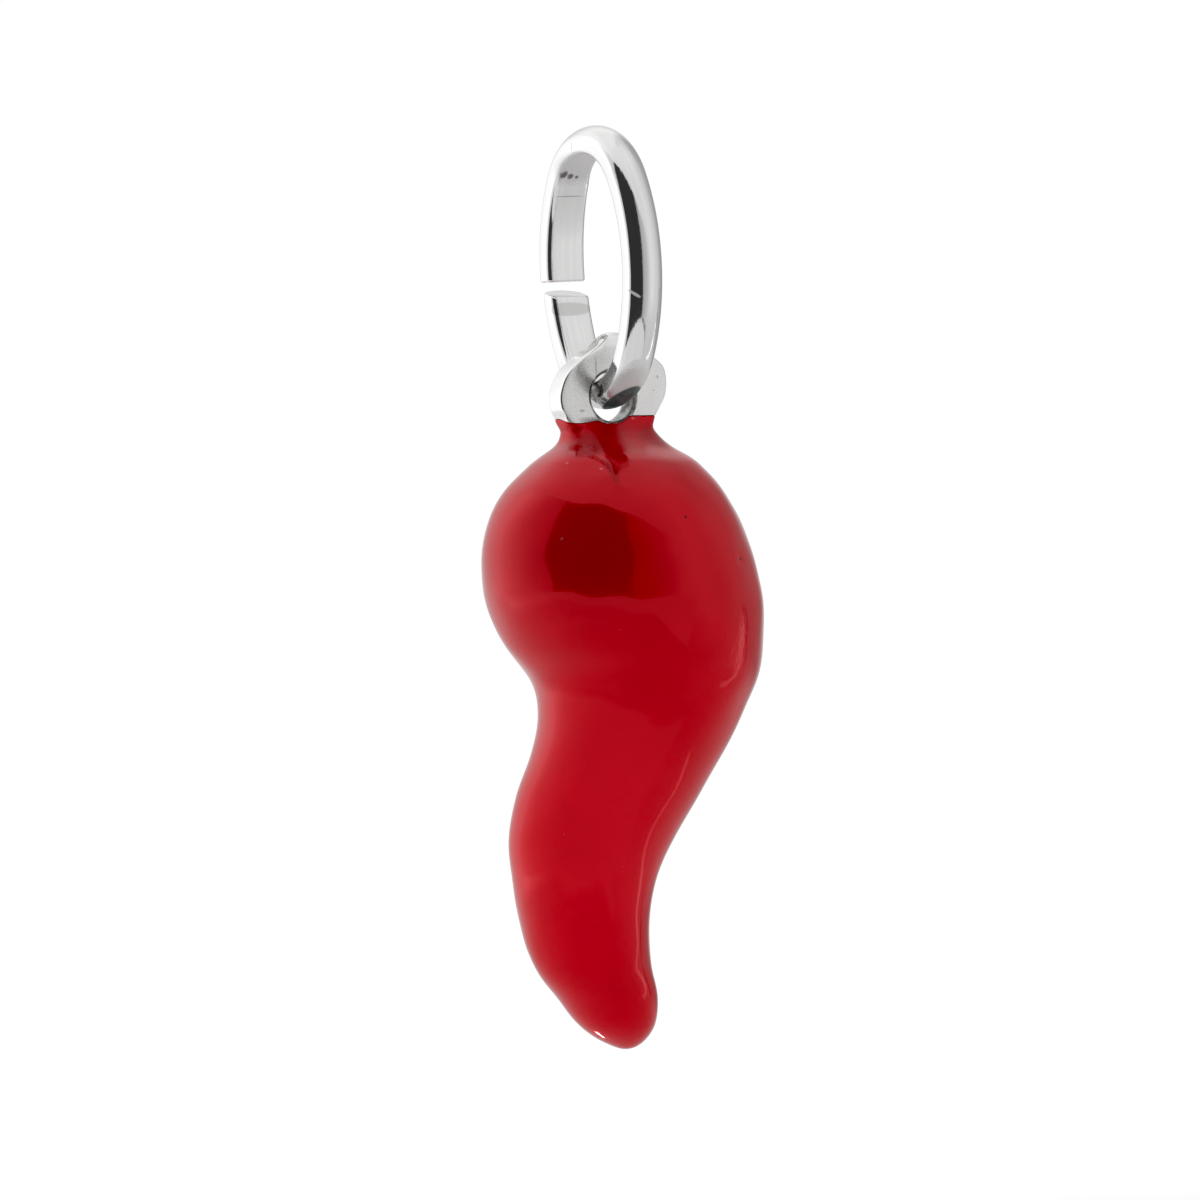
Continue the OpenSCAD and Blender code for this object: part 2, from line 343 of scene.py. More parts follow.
def coat_thickness(rows):
    """Thickness of the enamel, which grows from its edge down."""
    return COAT["edge"] + (COAT["thick"] - COAT["edge"]) * smooth_step((rows - EDGE_ROW) / COAT["ramp"])


def make_enamel():
    """The enamel skin over the horn, with its lip at the neck."""
    lip_steps = np.radians([0, 22, 45, 68, 90])
    half_row = 0.5
    row_height = abs(section(np.array([EDGE_ROW + half_row]))[0, 0] - ROWS[EDGE_ROW, 0]) / half_row
    lip_t = EDGE_ROW + SOFT["lip"] * (1 - np.cos(lip_steps)) / row_height
    t = np.concatenate([lip_t, rings_between(lip_t[-1], LAST, PITCH["enamel"])[1:-1]])
    inset = np.concatenate([SOFT["lip"] * (1 - np.sin(lip_steps)), np.zeros(len(t) - len(lip_t))])
    angles = ring_angles(t, COLUMNS)
    rows = warped(t, angles)
    normal = outward(rows, angles)
    base = surface(rows, angles)
    set_in = smooth_step((rows - EDGE_ROW) / SET_IN_ROWS)
    rise = waves(base, ENAMEL_WAVES) * set_in + small_forms(hung(base), ENAMEL_FORMS)
    outside = base + (rise - inset[:, None])[..., None] * normal
    inside = base - coat_thickness(rows)[..., None] * normal
    tip = surface(np.array([float(LAST)]), np.array([0.0]))[0]
    rings, columns = len(t), COLUMNS
    points = np.concatenate([
        outside.reshape(-1, 3), [tip], inside.reshape(-1, 3), [tip + [0, 0, COAT["thick"]]]
    ])
    size = rings * columns + 1
    last = (rings - 1) * columns
    outer = grid_faces(rings, columns)
    outer += [[last + j, rings * columns, last + (j + 1) % columns] for j in range(columns)]
    inner = [[size + v for v in reversed(f)] for f in outer]
    rim = [[j, (j + 1) % columns, size + (j + 1) % columns, size + j] for j in range(columns)]
    return make_mesh("enamel_skin", hung(points), outer + inner + rim)


def make_casting():
    """The cast horn under the enamel, with its bare eye and the drilled hole.

    The skin steps in under the enamel's edge over a small part of a row.
    """
    step_rows = 0.05
    bare = rings_between(0, EDGE_ROW - step_rows, PITCH["bare"])[1:]
    covered = rings_between(EDGE_ROW, LAST, PITCH["covered"])[:-1]
    t = np.concatenate([bare, covered])
    angles = ring_angles(t, COLUMNS)
    rows = warped(t, angles)
    inset = np.where((t >= EDGE_ROW)[:, None], coat_thickness(rows) + COAT["clear"], 0)
    skin = surface(rows, angles) - inset[..., None] * outward(rows, angles)
    top = surface(np.array([0.0]), np.array([0.0]))[0]
    tip = surface(np.array([float(LAST)]), np.array([0.0]))[0] + [0, 0, COAT["thick"] + COAT["clear"]]
    rings, columns = len(t), COLUMNS
    points = np.concatenate([[top], skin.reshape(-1, 3), [tip]])
    last = 1 + (rings - 1) * columns
    faces = [[0, 1 + j, 1 + (j + 1) % columns] for j in range(columns)]
    faces += grid_faces(rings, columns, 1)
    faces += [[last + j, 1 + rings * columns, last + (j + 1) % columns] for j in range(columns)]
    casting = make_mesh("silver_casting", hung(points), faces)
    drill(casting)
    return casting


def drill(obj, steps=96, past=0.3, sharp_degrees=18):
    """Cuts the eye's hole, with a softly rounded rim on both faces. The cutter flares past each face."""
    soft = SOFT["rim"]
    half = EYE["thick"] / 2
    turns = np.radians([0, 22.5, 45, 67.5, 90])
    profile = [[EYE["hole_r"] + soft * (1 - math.cos(a)), half - soft + soft * math.sin(a)] for a in turns]
    profile.append([EYE["hole_r"] + soft + past, half + past])
    profile = [[r, -y] for r, y in reversed(profile)] + profile
    angle = np.arange(steps) * 2 * math.pi / steps
    points = [[r * math.cos(a), y, HOLE_Z + r * math.sin(a)] for r, y in profile for a in angle]
    faces = grid_faces(len(profile), steps)
    faces += [list(range(steps)), list(range(len(points) - steps, len(points)))[::-1]]
    cutter = make_mesh("cutter", points, faces)
    face_outwards(cutter)
    cut = obj.modifiers.new("hole", "BOOLEAN")
    cut.operation = "DIFFERENCE"
    cut.solver = "EXACT"
    cut.object = cutter
    apply_modifiers(obj)
    bpy.data.objects.remove(cutter)
    sharpen(obj, sharp_degrees)


def wire_profile():
    """The half-round wire's outline: x out from the oval's inside, y across the wire."""
    shoulder_steps, corner_steps, crown_steps, flat_steps = 7, 9, 17, 9
    corner, width, thick, dome = WIRE["corner"], WIRE["width"], WIRE["thick"], WIRE["dome"]
    dome_r = (width**2 / 4 + dome**2) / (2 * dome)
    dome_x = thick - dome_r
    flat_y = width / 2 - corner
    shoulder_x = dome_x + math.sqrt((dome_r - corner) ** 2 - flat_y**2)
    shoulder = math.atan2(flat_y, shoulder_x - dome_x)

    def arc(x, y, r, start, stop, steps):
        return [[x + r * math.cos(a), y + r * math.sin(a)] for a in np.linspace(start, stop, steps)]

    half = arc(shoulder_x, flat_y, corner, shoulder, math.pi / 2, shoulder_steps)[1:]
    half += arc(corner, flat_y, corner, math.pi / 2, math.pi, corner_steps)
    crown = arc(dome_x, 0, dome_r, -shoulder, shoulder, crown_steps)
    mirrored_half = [[x, -y] for x, y in reversed(half)]
    flat = [[0, y] for y in np.linspace(flat_y, -flat_y, flat_steps)[1:-1]]
    return np.array(mirrored_half + crown + half + flat)


def oval(angle):
    """Points of the bail's inner oval in the YZ plane, by the angle of the outward normal from +Y.

    The second result is the radius of the oval's long sides.
    """
    half_w, end_r = BAIL["inner_w"] / 2, BAIL["end_r"]
    end_z = BAIL["inner_h"] / 2 - end_r
    side_r = (half_w**2 + end_z**2 - end_r**2) / (2 * (half_w - end_r))
    side_y = side_r - half_w
    join = math.atan2(end_z, side_y)
    y, z = np.cos(angle), np.sin(angle)
    on_end = np.abs(z) > math.sin(join)
    return np.stack([
        np.where(on_end, end_r * y, -np.sign(y) * side_y + side_r * y),
        np.where(on_end, np.sign(z) * end_z + end_r * z, side_r * z),
    ], -1), side_r


def make_bail(sharp_degrees=40):
    """The open oval bail, swept along its oval between the two faces of the cut."""
    profile = wire_profile()
    tangent = np.roll(profile, -1, axis=0) - np.roll(profile, 1, axis=0)
    normal = np.stack([tangent[:, 1], -tangent[:, 0]], -1)
    normal /= np.linalg.norm(normal, axis=1, keepdims=True)
    share = np.linspace(0, 1, WIRE_RINGS + 1)
    soft = SOFT["end"]
    rounding = soft / WIRE_LENGTH * (1 - np.sin(np.radians([0, 15, 30, 45, 60, 75, 90])))
    share = np.unique(np.concatenate([share, rounding, 1 - rounding]))
    near = np.minimum(share, 1 - share) * WIRE_LENGTH
    inset = soft - np.sqrt(np.maximum(soft**2 - np.maximum(soft - near, 0) ** 2, 0))
    out = profile[None, :, 0] - inset[:, None] * normal[None, :, 0]
    across = profile[None, :, 1] - inset[:, None] * normal[None, :, 1]
    weight = smooth_step(1 - np.minimum(share, 1 - share) / CUT["reach"])
    across = across * (1 + weight * CUT["flare"] / WIRE["width"])[:, None]
    across = across + (weight * (CUT["drift"] + np.where(share > 0.5, CUT["step"], 0)))[:, None]
    side_r = oval(np.zeros(1))[1]
    start = np.arcsin(-CUT["drop"] / (side_r + out))
    lower = CUT["drop"] + CUT["inner"] - (CUT["inner"] - CUT["outer"]) * out / WIRE["thick"]
    stop = 2 * math.pi - np.arcsin(lower / (side_r + out))
    angle = start * (1 - share[:, None]) + stop * share[:, None]
    inside = oval(angle)[0]
    y = inside[..., 0] + out * np.cos(angle)
    z = inside[..., 1] + out * np.sin(angle) - BAIL["inner_h"] / 2
    points = np.stack([across, y, z], -1)
    count, size = len(share), len(profile)
    faces = grid_faces(count, size)
    faces += [list(range(size)), list(range((count - 1) * size, count * size))[::-1]]
    around = np.concatenate([[0], np.cumsum(np.linalg.norm(np.diff(profile, axis=0), axis=1))])
    uv = np.stack(np.broadcast_arrays((share * WIRE_LENGTH)[:, None], around[None, :]), -1).reshape(-1, 2)
    bail = make_mesh("silver_bail", points.reshape(-1, 3), faces, uv)
    face_outwards(bail)
    sharpen(bail, sharp_degrees)
    return bail


def rgba(value):
    """A colour or a grey as red, green, blue and alpha."""
    return (*value, 1) if isinstance(value, tuple) else (value, value, value, 1)


class Graph:
    """A node tree, with short calls to add and join nodes."""

    def __init__(self, tree):
        self.tree = tree
        self.tree.nodes.clear()

    def add(self, kind, inputs=None, **settings):
        """A new node. Inputs are numbers, colours or other nodes' outputs, by input name or number."""
        node = self.tree.nodes.new(kind)
        for key, value in settings.items():
            setattr(node, key, value)
        for key, value in (inputs or {}).items():
            if isinstance(value, bpy.types.NodeSocket):
                self.tree.links.new(value, node.inputs[key])
            else:
                node.inputs[key].default_value = value
        return node

    def math(self, operation, a, b=0.0):
        return self.add("ShaderNodeMath", {0: a, 1: b}, operation=operation).outputs[0]

    def vector(self, operation, a, b):
        return self.add("ShaderNodeVectorMath", {0: a, 1: b}, operation=operation).outputs[0]

    def length(self, vector):
        return self.add("ShaderNodeVectorMath", {0: vector}, operation="LENGTH").outputs["Value"]

    def dot(self, a, b):
        return self.add("ShaderNodeVectorMath", {0: a, 1: b}, operation="DOT_PRODUCT").outputs["Value"]

    def span(self, value, low, high, to_low=0.0, to_high=1.0):
        """A value moved from one span to another, smoothly and clamped."""
        return self.add("ShaderNodeMapRange", {
            "Value": value, "From Min": low, "From Max": high, "To Min": to_low, "To Max": to_high
        }, interpolation_type="SMOOTHSTEP").outputs["Result"]

    def span_linear(self, value, low, high):
        node = self.add("ShaderNodeMapRange", {"Value": value, "From Min": low, "From Max": high})
        return node.outputs["Result"]

    def mix(self, factor, a, b):
        """One colour or grey turned into another by a factor."""
        node = self.add("ShaderNodeMix", {0: factor}, data_type="RGBA")
        for socket, value in ((node.inputs[6], a), (node.inputs[7], b)):
            if isinstance(value, bpy.types.NodeSocket):
                self.tree.links.new(value, socket)
            else:
                socket.default_value = rgba(value)
        return node.outputs[2]

    def ramp(self, factor, stops):
        """A colour ramp with (position, colour or grey) stops."""
        node = self.add("ShaderNodeValToRGB", {0: factor})
        elements = node.color_ramp.elements
        while len(elements) < len(stops):
            elements.new(0.5)
        for element, (position, value) in zip(elements, stops):
            element.position = position
            element.color = rgba(value)
        return node.outputs[0]

    def noise(self, vector, scale, detail=3.0, roughness=0.5):
        """Cloudy noise from 0 to 1, with the scale in cells for each unit of the vector."""
        return self.add("ShaderNodeTexNoise", {
            "Vector": vector, "Scale": scale, "Detail": detail, "Roughness": roughness
        }).outputs["Fac"]

    def bump(self, height, strength, distance, normal=None):
        """A normal tilted by a height, over another bump where one is given."""
        inputs = {"Height": height, "Strength": strength, "Distance": distance * MM}
        if normal is not None:
            inputs["Normal"] = normal
        return self.add("ShaderNodeBump", inputs).outputs[0]

    def spot(self, place, centre, radii, soft=0.3):
        """1 inside an ellipsoid, 0 outside it, with a soft edge."""
        offset = self.vector("SUBTRACT", place, tuple(c * MM for c in centre))
        scaled = self.vector("DIVIDE", offset, tuple(r * MM for r in radii))
        return self.span(self.length(scaled), 1.0, 1.0 - soft)

    def lens(self, place, centre, direction, half_length, radius, soft=0.3):
        """Like spot, for a slim shape that lies in any direction."""
        along = Vector(direction).normalized()
        offset = self.vector("SUBTRACT", place, tuple(c * MM for c in centre))
        share = self.dot(offset, along)
        line = self.add("ShaderNodeVectorMath", {0: along, "Scale": share}, operation="SCALE").outputs[0]
        aside = self.length(self.vector("SUBTRACT", offset, line))
        a = self.math("DIVIDE", share, half_length * MM)
        b = self.math("DIVIDE", aside, radius * MM)
        squares = self.math("ADD", self.math("MULTIPLY", a, a), self.math("MULTIPLY", b, b))
        return self.span(self.math("SQRT", squares), 1.0, 1.0 - soft)

    def spots(self, place, marks, soft=0.3):
        """1 inside any of several ellipsoids. Each mark is a centre and its radii."""
        total = self.spot(place, *marks[0], soft)
        for mark in marks[1:]:
            total = self.math("MAXIMUM", total, self.spot(place, *mark, soft))
        return total

    def finish(self, shader, output="ShaderNodeOutputMaterial"):
        self.tree.links.new(shader.outputs[0], self.add(output).inputs["Surface"])


def new_material(name):
    material = bpy.data.materials.new(name)
    material.use_nodes = True
    return material, Graph(material.node_tree)


# Marks on the silver, as centres and radii; some are painted light, as noted at each. Marks that lie aslant
# also have a direction and a half length.
# A darker, duller, mottled patch, not metal, on the wire's underside where it leaves the hole
DARK_UNDERSIDE = [(0.05, -0.75, -6.97), (0.0, -1.0, 0.5), 0.99, 0.47]
# Painted reflection: matt white, not metal, on the wire's lower front, standing in for a white reflection
PAINTED_WHITE_FRONT = [(0.0, -1.45, -6.55), (0.0, -1.0, 0.6), 0.98, 0.76]
# Painted reflection: mottled dark grey, not metal, inside the bail's top, standing in for the horn's reflection
# seen grey
BAIL_PAINTED_GREY = [
    [(-0.36, 1.14, -0.50), (0.16, 0.20, 0.16)], [(-0.12, 1.20, -0.55), (0.12, 0.14, 0.11)],
    [(0.10, 1.22, -0.57), (0.08, 0.10, 0.06)],
]
# Painted reflection: pale, not metal, over the bail's inner top, in place of the horn's red reflection
INNER_PAINTED_PALE = [[(0.0, 0.25, -0.42), (0.95, 1.55, 0.72)]]
BAIL_LINES = [[(0.0, 1.52, -1.09), (0.62, 0.12, 0.022)], [(-0.42, 0.35, 0.20), (0.30, 0.02, 0.30)]]
BAIL_SCRATCH = [(-0.42, -2.535, -3.99), (0.22, -0.23, -0.22), 0.27, 0.06]
# Painted shade: a darker band on the far leg, where its reflection dims
STUB_PAINTED_SHADE = [[(0.0, 1.85, -4.22), (0.90, 0.30, 0.22)]]
# A darker, blotchy colour over the drilled hole's wall, all but its top
BORE_DARKENING = [[(0.0, 0.0, -6.755), (0.79, 9.0, 0.79)]]
EYE_SPOTS = [
    [(1.45, -0.36, -6.25), (0.05, 0.1, 0.05)], [(1.30, -0.36, -6.62), (0.03, 0.1, 0.03)],
    [(-0.51, -0.36, -5.95), (0.035, 0.1, 0.40)], [(-1.02, -0.36, -7.12), (0.12, 0.1, 0.05)],
]

# Colours of the silver. A pair is the darkest and the lightest of a blotchy colour.
WIRE_COLOURS = {
    "bright": ((0.905, 0.905, 0.900), (0.955, 0.955, 0.950)),
    # painted shade for the far leg's darker band
    "band": (0.72, 0.72, 0.715),
    "line": (0.40, 0.40, 0.40),
    # pale: the painted reflection inside the top, and the scratch
    "pale": (0.90, 0.92, 0.92),
    # painted reflection, matt white, tinted against the enamel's red bounce light
    "painted_white": (0.93, 1.0, 1.0),
    # painted reflection, dark grey
    "painted_grey": (0.22, 0.22, 0.22),
    # the darker, duller underside
    "dark_underside": ((0.09, 0.15, 0.15), (0.17, 0.27, 0.27)),
}
CAST_COLOURS = {
    "bright": ((0.93, 0.93, 0.925), (0.98, 0.98, 0.975)),
    "pin": (0.30, 0.30, 0.30),
    "bore": ((0.16, 0.16, 0.16), (0.62, 0.62, 0.61)),
}


def silver_bail_material():
    """Polished wire with faint drawing streaks and scratches, a painted shade band on the far leg, painted
    reflections inside the top and on the lower front, and a darker, duller underside.
    """
    material, g = new_material("polished_silver")
    tint = WIRE_COLOURS
    texture = g.add("ShaderNodeTexCoord")
    place = texture.outputs["Object"]
    streaks = g.noise(g.vector("MULTIPLY", texture.outputs["UV"], (0.35, 9.0, 0.0)), 1.0, 3.0, 0.6)
    grain = g.noise(place, 14 / MM, 4.0, 0.7)
    blotch = g.noise(place, 2.6 / MM, 4.0, 0.6)
    bright = g.mix(g.span(streaks, 0.3, 0.7), *tint["bright"])
    # Painted shade: a darker band on the far leg
    banded = g.mix(g.spots(place, STUB_PAINTED_SHADE, 0.25), bright, tint["band"])
    lined = g.mix(g.math("MULTIPLY", g.spots(place, BAIL_LINES, 0.6), 0.75), banded, tint["line"])
    # Painted reflection: mottled dark grey, not metal, inside the bail's top
    painted_grey = g.math("MULTIPLY", g.spots(place, BAIL_PAINTED_GREY, 0.5), g.span(blotch, 0.40, 0.55))
    # Painted reflection: matt white, not metal, on the wire's lower front
    painted_white = g.lens(place, *PAINTED_WHITE_FRONT, 0.45)
    # Painted reflection: pale, not metal, over the bail's inner top; the scratch shares its colour
    painted_pale = g.math("MULTIPLY", g.spots(place, INNER_PAINTED_PALE, 0.35), 0.96)
    scratch = g.lens(place, *BAIL_SCRATCH, 0.5)
    pale = g.math("MAXIMUM", painted_pale, scratch)
    dull = g.math("MAXIMUM", painted_white, pale)
    # The painted white and pale reflections and the scratch laid over the wire's colour
    whitened = g.mix(painted_white, g.mix(pale, lined, tint["pale"]), tint["painted_white"])
    # A darker, duller patch, not metal, on the wire's underside
    dark_underside = g.lens(place, *DARK_UNDERSIDE, 0.12)
    dark = g.mix(g.span(blotch, 0.35, 0.65), *tint["dark_underside"])
    colour = g.mix(dark_underside, g.mix(painted_grey, whitened, tint["painted_grey"]), dark)
    metal = g.math("SUBTRACT", 1.0, g.math("MAXIMUM", dark_underside, g.math("MAXIMUM", painted_grey, dull)))
    smooth = g.span(grain, 0.3, 0.75, 0.045, 0.11)
    rough = g.math("ADD", smooth, g.math("MULTIPLY", g.math("MAXIMUM", dark_underside, dull), 0.4))
    bump = g.bump(grain, 0.05, 0.01, g.bump(streaks, 0.25, 0.01))
    g.finish(g.add("ShaderNodeBsdfPrincipled", {
        "Base Color": colour, "Metallic": metal, "Roughness": rough, "Normal": bump
    }))
    return material


def silver_casting_material():
    """Softly uneven cast silver, satin on the eye's two faces, with pin marks and a dull drilled hole, darker
    and blotchy over most of its wall.
    """
    material, g = new_material("cast_silver")
    tint = CAST_COLOURS
    place = g.add("ShaderNodeTexCoord").outputs["Object"]
    slow = g.noise(place, 1.1 / MM, 2.0)
    grain = g.noise(place, 9 / MM, 5.0, 0.7)
    blotch = g.noise(place, 3.2 / MM, 4.0, 0.6)
    bright = g.mix(g.span(slow, 0.3, 0.7), *tint["bright"])
    pinned = g.mix(g.math("MULTIPLY", g.spots(place, EYE_SPOTS, 0.6), 0.6), bright, tint["pin"])
    bore = g.spots(place, BORE_DARKENING, 0.02)
    colour = g.mix(bore, pinned, g.mix(g.span(blotch, 0.4, 0.62), *tint["bore"]))
    depth = g.math("ABSOLUTE", g.add("ShaderNodeSeparateXYZ", {0: place}).outputs["Y"])
    face = EYE["thick"] / 2 * MM
    on_face = g.span(depth, face * 0.93, face * 0.985)
    satin = g.math("MAXIMUM", on_face, bore)
    rough = g.math("ADD", g.span(grain, 0.3, 0.75, 0.06, 0.12), g.math("MULTIPLY", satin, 0.18))
    bump = g.bump(grain, 0.08, 0.01, g.bump(slow, 0.3, 0.04))
    metal = g.math("SUBTRACT", 1.0, g.math("MULTIPLY", satin, 0.35))
    g.finish(g.add("ShaderNodeBsdfPrincipled", {
        "Base Color": colour, "Metallic": metal, "Roughness": rough, "Normal": bump
    }))
    return material


# Marks in the enamel, as centres and radii. The run also has a direction and a half length.
NECK_SHADE = [[(-1.25, -0.82, -8.20), (0.80, 0.95, 0.66)], [(1.15, -0.75, -7.95), (0.90, 0.90, 0.60)]]
RUN_SHADE = [(-1.17, -2.10, -8.87), (-0.11, -0.98, -0.85), 0.80, 0.20]
NECK_SOFT = [[(0.1, -0.5, -7.9), (2.4, 1.9, 0.95)]]
ENAMEL_PITS = [[(0.40, -3.34, -10.21), (0.06, 0.2, 0.06)], [(2.32, -2.96, -11.44), (0.08, 0.2, 0.06)]]
ENAMEL_SPECKS = [
    [(-1.99, -1.08, -8.56), (0.06, 0.06, 0.06)], [(-1.40, -1.93, -8.77), (0.06, 0.06, 0.06)],
    [(-2.85, -2.10, -10.65), (0.07, 0.07, 0.07)], [(0.57, -0.42, -7.38), (0.07, 0.07, 0.06)],
]
UNEVEN_PATCHES = [[(-2.60, -1.20, -17.9), (0.70, 0.80, 1.9)], [(1.95, -3.3, -13.6), (0.9, 0.9, 1.7)]]

# Colours of the enamel. The pair is the darkest and the lightest of its uneven red.
ENAMEL_COLOURS = {
    "body": ((0.69, 0.0010, 0.0120), (0.75, 0.0020, 0.0150)),
    "deep": (0.22, 0.0, 0.004),
    "speck": (0.80, 0.25, 0.28),
}


def enamel_material():
    """Glossy red enamel under a clear skin, darker and a little rough at the neck, with pits and specks."""
    material, g = new_material("red_enamel")
    tint = ENAMEL_COLOURS
    place = g.add("ShaderNodeTexCoord").outputs["Object"]
    slow = g.noise(place, 0.42 / MM, 3.0)
    speckle = g.noise(place, 5.2 / MM, 2.0, 0.6)
    body = g.mix(g.span(slow, 0.3, 0.7), *tint["body"])
    shade = g.math("MAXIMUM", g.spots(place, NECK_SHADE, 0.6), g.lens(place, *RUN_SHADE, 0.6))
    shaded = g.mix(g.math("MULTIPLY", shade, 0.42), body, tint["deep"])
    dots = g.math("MAXIMUM", g.span(speckle, 0.77, 0.82), g.spots(place, ENAMEL_SPECKS, 0.5))
    specked = g.mix(g.math("MULTIPLY", dots, 0.5), shaded, tint["speck"])
    colour = g.mix(g.spots(place, ENAMEL_PITS, 0.5), specked, tint["deep"])
    neck = g.spots(place, NECK_SOFT, 0.5)
    rough = g.math("ADD", g.span(slow, 0.3, 0.7, 0.10, 0.15), g.math("MULTIPLY", neck, 0.25))
    wavy = g.noise(place, 1.5 / MM, 3.0, 0.55)
    lumps = g.math("MULTIPLY", g.noise(place, 4.2 / MM, 4.0, 0.65), g.spots(place, UNEVEN_PATCHES, 0.6))
    satin = g.math("MULTIPLY", g.noise(place, 24 / MM, 2.0), neck)
    bump = g.bump(satin, 0.8, 0.01, g.bump(lumps, 0.30, 0.03, g.bump(wavy, 0.12, 0.03)))
    g.finish(g.add("ShaderNodeBsdfPrincipled", {
        "Base Color": colour, "Metallic": 0.30, "Roughness": rough, "IOR": 1.02, "Coat Weight": 1.0,
        "Coat Roughness": 0.03, "Coat IOR": 1.42, "Normal": bump, "Coat Normal": bump
    }))
    return material


def dress(obj, material, body, node):
    """Gives a piece its material and slot, and puts it in place of its CAD node."""
    obj.data.materials.clear()
    obj.data.materials.append(material)
    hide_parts(node)
    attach(obj, body)


dress(make_bail(), silver_bail_material(), "bail", "bail")
dress(make_casting(), silver_casting_material(), "pendant", "horn_core")
dress(make_enamel(), enamel_material(), "pendant", "enamel_coat")

# The photograph: its size, the pixel where a known point shows, its scale there, its roll and its direction.
# The camera's own distance and sensor are chosen.
PHOTO_SIZE = 1200
MARK_PIXEL = (606, 386)
MARK_POINT = np.array([0, 0, -6.45])
PIXELS_PER_MM = 36.0
PHOTO_ROLL = math.radians(2.8)
PHOTO_AZIMUTH = -30.0
CAMERA_DISTANCE = 300.0
SENSOR = 36.0


def heading(turn):
    """Level unit vector from the pendant, turned in degrees from the camera towards the picture's right."""
    azimuth = math.radians(PHOTO_AZIMUTH + turn)
    return Vector((math.sin(azimuth), -math.cos(azimuth), 0))


def make_camera():
    """The camera of the photograph, rolled as the photograph is."""
    back, level, up = heading(0), heading(90), Vector((0, 0, 1))
    cos_roll, sin_roll = math.cos(PHOTO_ROLL), math.sin(PHOTO_ROLL)
    right = level * cos_roll - up * sin_roll
    top = up * cos_roll + level * sin_roll
    from_mark = [PHOTO_SIZE / 2 - MARK_PIXEL[0], MARK_PIXEL[1] - PHOTO_SIZE / 2]
    centre = Vector(MARK_POINT) + (right * from_mark[0] + top * from_mark[1]) / PIXELS_PER_MM
    data = bpy.data.cameras.new("camera")
    data.sensor_width = SENSOR
    data.lens = CAMERA_DISTANCE * SENSOR / (PHOTO_SIZE / PIXELS_PER_MM)
    data.clip_start = 0.01
    data.clip_end = 10.0
    camera = bpy.data.objects.new("camera", data)
    place = Matrix((right, top, back)).transposed().to_4x4()
    place.translation = (centre + back * CAMERA_DISTANCE) * MM
    camera.matrix_world = place
    bpy.context.scene.collection.objects.link(camera)
    bpy.context.scene.camera = camera


def make_floor():
    """A pale floor under the pendant that fades out into the pale surroundings."""
    drop, radius, full_to, gone_from, grey, count = 12.0, 150.0, 40.0, 140.0, 0.80, 96
    angle = np.arange(count) * 2 * math.pi / count
    height = np.full(count, CAD_LOW.z / MM - drop)
    rim = np.stack([radius * np.cos(angle), radius * np.sin(angle), height], -1)
    floor = make_mesh("floor", rim, [list(range(count))])
    material, g = new_material("pale_floor")
    place = g.add("ShaderNodeTexCoord").outputs["Object"]
    distance = g.length(g.vector("MULTIPLY", place, (1, 1, 0)))
    fade = g.span(distance, gone_from * MM, full_to * MM)
    matt = g.add("ShaderNodeBsdfPrincipled", {"Base Color": rgba(grey), "Roughness": 0.8})
    clear = g.add("ShaderNodeBsdfTransparent")
    g.finish(g.add("ShaderNodeMixShader", {0: fade, 1: clear.outputs[0], 2: matt.outputs[0]}))
    floor.data.materials.append(material)


def make_card(name, columns, steps=8, lights=True):
    """A curved card that shows only in reflections, and lights the pendant unless it is told not to.

    Each column is a turn in degrees to the right of the camera, the distance and height of one edge, the
    distance and height of the other edge, and the brightness. Between two columns there are this many steps.
    """
    at = np.arange(len(columns) * steps - steps + 1) / steps
    turns, *edges, glow = (np.interp(at, range(len(columns)), c) for c in zip(*columns))
    points = [
        list(heading(t) * d + Vector((0, 0, z)))
        for edge in (edges[:2], edges[2:]) for t, d, z in zip(turns, *edge)
    ]
    count = len(at)
    brightness = np.stack([np.tile(glow, 2), np.zeros(2 * count)], -1)
    faces = [[i, i + 1, count + i + 1, count + i] for i in range(count - 1)]
    card = make_mesh(name, points, faces, brightness)
    material, g = new_material(name + "_light")
    shade = g.add("ShaderNodeSeparateXYZ", {0: g.add("ShaderNodeTexCoord").outputs["UV"]}).outputs["X"]
    g.finish(g.add("ShaderNodeEmission", {"Color": shade}))
    card.data.materials.append(material)
    card.visible_camera = False
    card.visible_diffuse = lights


def upright(distance, columns):
    """Card columns at one distance. Each has a turn, a lowest and a highest point, and a brightness."""
    return [(turn, distance, low, distance, high, glow) for turn, low, high, glow in columns]


# Brightness all round at the pendant's level, by the turn in degrees to the right of the camera
AROUND = [
    (-180, 1.02), (-160, 0.97), (-128, 0.96), (-110, 1.0), (-80, 0.90), (-60, 0.78), (-46, 0.69), (50, 0.69),
    (70, 0.76), (90, 0.65), (106, 0.60), (113, 0.55), (121, 0.46), (131, 0.40), (150, 0.40), (159, 0.62),
    (168, 0.98), (180, 1.02),
]

# The brightness overhead, its share there, and how much dimmer a ring round the place behind the pendant is
OVERHEAD, OVERHEAD_SHARE, RING_DIMMER = 0.80, 0.75, 0.28


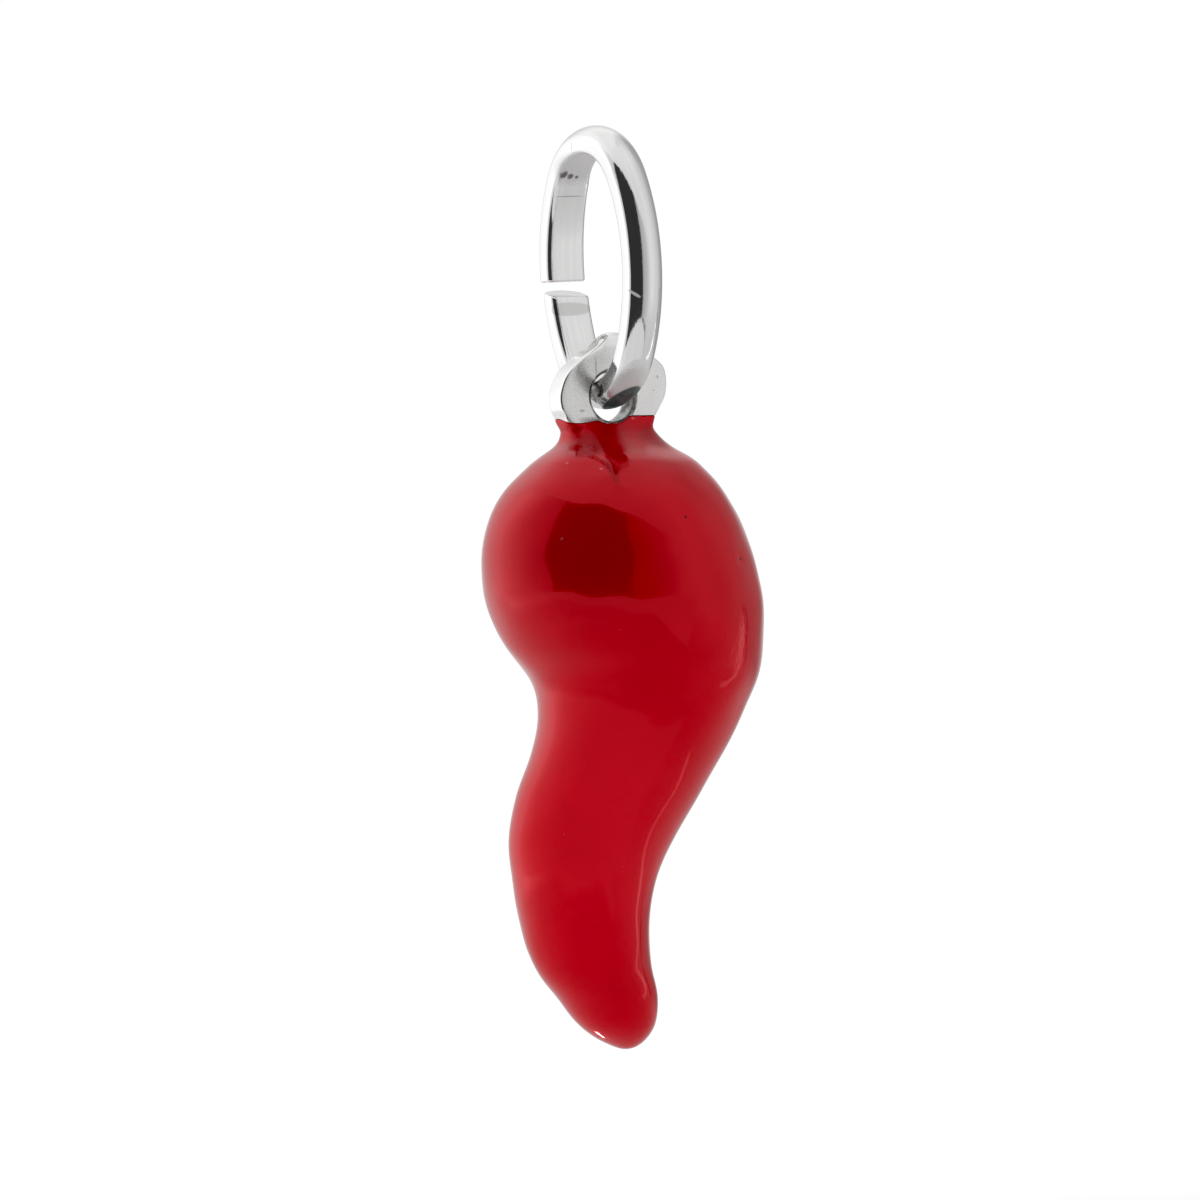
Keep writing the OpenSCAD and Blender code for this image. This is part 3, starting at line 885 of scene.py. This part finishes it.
def make_surroundings():
    """A light tent: white behind the pendant, grey round the camera and to its right, and even overhead."""
    world = bpy.data.worlds.new("studio")
    world.use_nodes = True
    g = Graph(world.node_tree)
    toward = g.add("ShaderNodeTexCoord").outputs["Generated"]
    front, right, rise = (g.dot(toward, axis) for axis in (heading(0), heading(90), (0, 0, 1)))
    turn = g.math("ARCTAN2", right, front)
    around = g.ramp(g.span_linear(turn, -math.pi, math.pi), [((a + 180) / 360, v) for a, v in AROUND])
    level = g.mix(g.span(rise, 0.62, 0.96, 0.0, OVERHEAD_SHARE), around, OVERHEAD)
    ring = g.math("MULTIPLY", g.span(front, -0.60, -0.93), g.span(front, -0.992, -0.985))
    value = g.math("MULTIPLY", level, g.math("SUBTRACT", 1.0, g.math("MULTIPLY", ring, RING_DIMMER)))
    g.finish(g.add("ShaderNodeBackground", {"Color": value}), "ShaderNodeOutputWorld")
    bpy.context.scene.world = world


# Tones up to this one are shown as black
BLACK_LEVEL = 0.018


def set_picture():
    """The picture's tone: plain colours, with the deepest tones pressed a little as in the photograph."""
    scene = bpy.context.scene
    view = scene.view_settings
    view.view_transform = "Standard"
    view.use_curve_mapping = True
    view.curve_mapping.black_level = (BLACK_LEVEL, BLACK_LEVEL, BLACK_LEVEL)
    view.curve_mapping.update()
    scene.cycles.use_denoising = True


# The flags' distance and the height of their lower edges, where the shelf ends, and the dark flag's brightness
FLAG_AWAY, FLAG_FOOT, BLACK = 40, -24, 0.047

make_camera()
make_floor()
make_card("graded_flag", upright(FLAG_AWAY, [
    (-110, FLAG_FOOT, 30, 1.12), (-96, FLAG_FOOT, 36, 1.00), (-84, FLAG_FOOT, 40, 0.82),
    (-72, FLAG_FOOT, 42, 0.68), (-53.3, FLAG_FOOT, 40, 0.56),
]))
make_card("dark_flag", upright(FLAG_AWAY, [
    (-53, FLAG_FOOT, 40, BLACK), (-14, FLAG_FOOT, 40, BLACK), (-5, FLAG_FOOT, 38.5, BLACK),
    (15.5, FLAG_FOOT, 30, BLACK),
]))
make_card("grey_flag", upright(FLAG_AWAY, [
    (15.8, FLAG_FOOT, 30, 0.34), (28, FLAG_FOOT, 21, 0.45), (38, FLAG_FOOT, 14, 0.53),
    (50, FLAG_FOOT, 7, 0.65),
]))
make_card("flag_edge", upright(FLAG_AWAY - 0.1, [
    (17, -25.5, FLAG_FOOT, 0.2), (30, -28, -25, 0.2), (40, -31.5, -28.3, 0.2), (50, -37, -34, 0.2),
]))
make_card("left_light", upright(120, [
    (-44, -46, 110, 0.69), (-58, -80, 110, 0.80), (-73, -225, 110, 0.96), (-88, -225, 110, 1.18),
    (-103, -225, 110, 1.38), (-116, -225, 110, 1.12), (-128, -225, 110, 0.97),
]))
make_card("right_streak", upright(38, [
    (86, -36.6, -35.4, 1.0), (92, -35.6, -33.4, 1.0), (98, -32.8, -30.0, 1.05),
    (104, -29.0, -24.6, 1.25), (107.5, -25.2, -19.0, 1.5), (110, -21.0, -14.0, 1.6),
]), lights=False)
make_card("right_line", upright(118, [(115.5, -72, -14, 0.15), (118.5, -72, -14, 0.15)]))
make_card("tip_light", upright(11, [(-150, -35.7, -34.1, 16.0), (-138, -35.7, -34.1, 16.0)]), lights=False)

# Distance and height of the shelf's inner edge, then for each column its turn, outer height and brightness
SHELF_INNER = (8.0, -13.1)
make_card("shelf", [
    (turn, *SHELF_INNER, FLAG_AWAY, outer, glow) for turn, outer, glow in (
        (-98, FLAG_FOOT, 1.05), (-80, FLAG_FOOT, 0.88), (-60, FLAG_FOOT, 0.77), (-40, FLAG_FOOT, 0.69),
        (-28, FLAG_FOOT, 0.66), (17, -25.5, 0.66), (30, -28, 0.66), (40, -31.5, 0.66), (50, -37, 0.66),
    )
])
make_surroundings()
set_picture()
